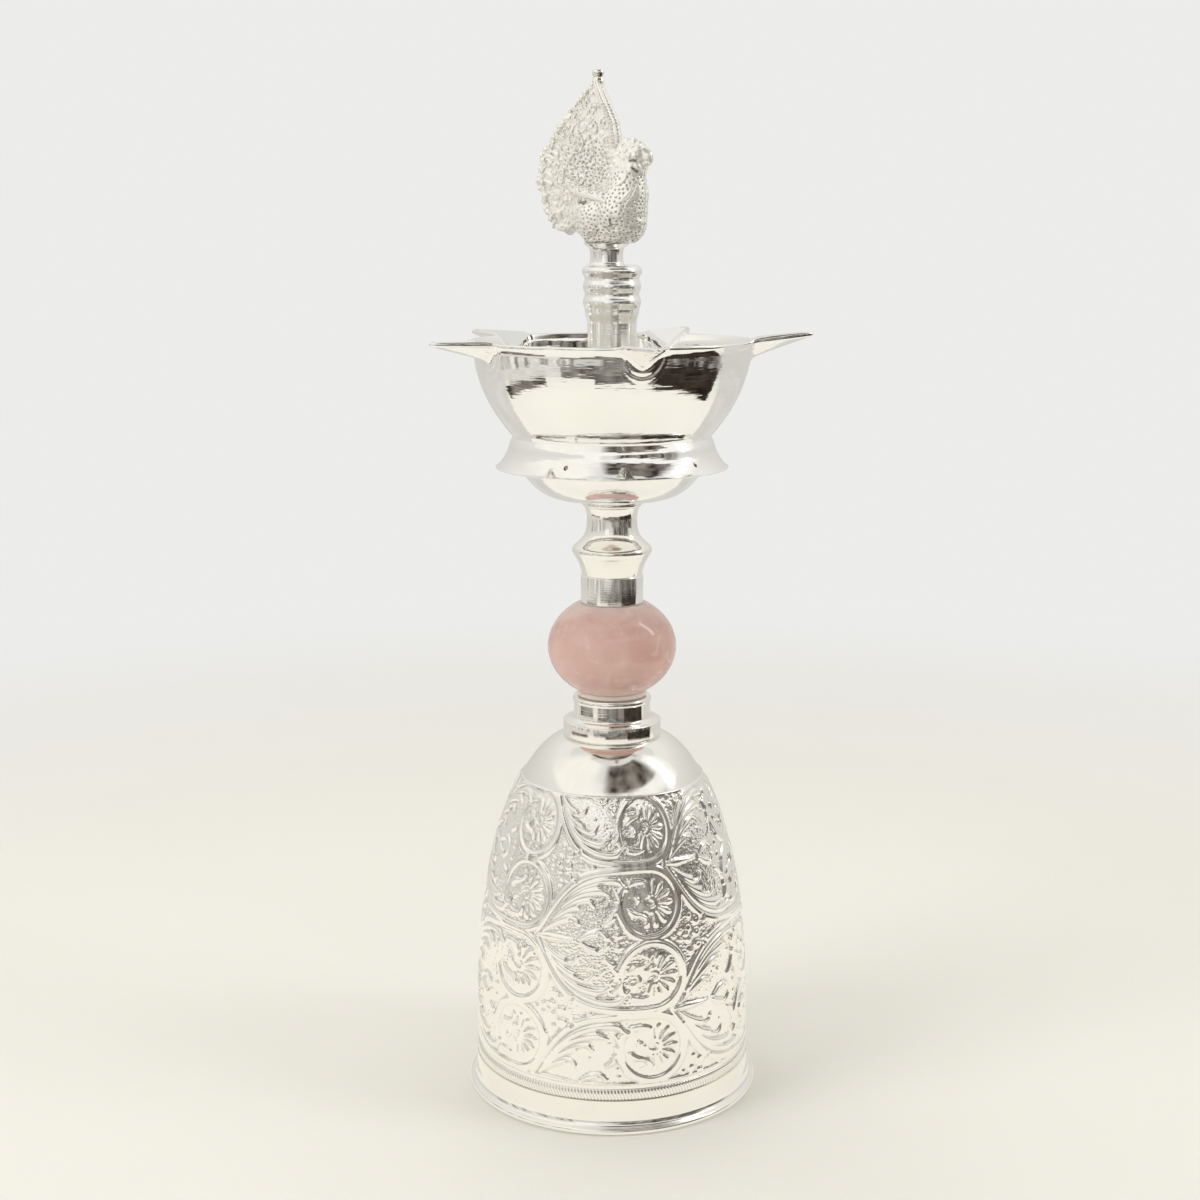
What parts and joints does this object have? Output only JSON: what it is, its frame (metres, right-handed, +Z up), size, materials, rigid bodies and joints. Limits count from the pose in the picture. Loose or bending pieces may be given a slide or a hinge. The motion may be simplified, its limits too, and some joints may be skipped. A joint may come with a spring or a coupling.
{
  "type": "standing oil lamp",
  "caption": "Standing ritual oil lamp: chased bell base, stem with a rose quartz bead, screw-off oil bowl with wick beaks and drip skirt, ringed post and peacock finial.",
  "frame": {"origin": "centre of the foot's flat underside, on the table", "axes": "+Z up along the stem, -Y towards the viewer of the picture, +X to the right"},
  "size_m": [0.0978, 0.0994, 0.2744],
  "materials": {
    "polished_silver": "bright polished silver",
    "chased_silver": "bright silver with chased scrollwork",
    "stamped_silver": "bright silver with stamped relief",
    "rose_quartz": "polished, cloudy",
    "plain_steel": "plain turned",
    "leather_washer": "matt"
  },
  "bodies": {
    "stand": {"foot_ring": "polished_silver", "border_wire": "polished_silver", "base_bell": "chased_silver", "clamp_washer": "plain_steel", "clamp_nut": "plain_steel", "tie_rod": "plain_steel", "base_collar": "polished_silver", "rose_bead": "rose_quartz", "stem_sleeve": "polished_silver", "baluster": "polished_silver"},
    "bowl_washer": {"bowl_seal": "leather_washer"},
    "bowl": {"oil_bowl": "polished_silver", "drip_skirt": "polished_silver", "bowl_pedestal": "polished_silver", "post_stud": "plain_steel"},
    "post_washer": {"post_seal": "leather_washer"},
    "finial": {"post": "polished_silver", "finial_neck": "polished_silver", "peacock_left_half": "stamped_silver", "peacock_right_half": "stamped_silver", "tip_knob": "polished_silver"}
  },
  "joints": [
    {"name": "bowl_rise", "type": "slide", "parent": "stand", "child": "bowl_washer", "axis": [0, 0, 1], "range_m": [0, 0.007]},
    {"name": "bowl_turn", "type": "hinge", "parent": "bowl_washer", "child": "bowl", "pos_m": [0, 0, 0.1636], "axis": [0, 0, 1], "range_deg": [0, 2520]},
    {"name": "post_rise", "type": "slide", "parent": "bowl", "child": "post_washer", "axis": [0, 0, 1], "range_m": [0, 0.007]},
    {"name": "post_turn", "type": "hinge", "parent": "post_washer", "child": "finial", "pos_m": [0, 0, 0.1802], "axis": [0, 0, 1], "range_deg": [0, 2520]}
  ],
  "couplings": [
    {"joint": "bowl_rise", "follows": "bowl_turn", "m_per_rad": 0.00015915},
    {"joint": "post_rise", "follows": "post_turn", "m_per_rad": 0.00015915}
  ]
}
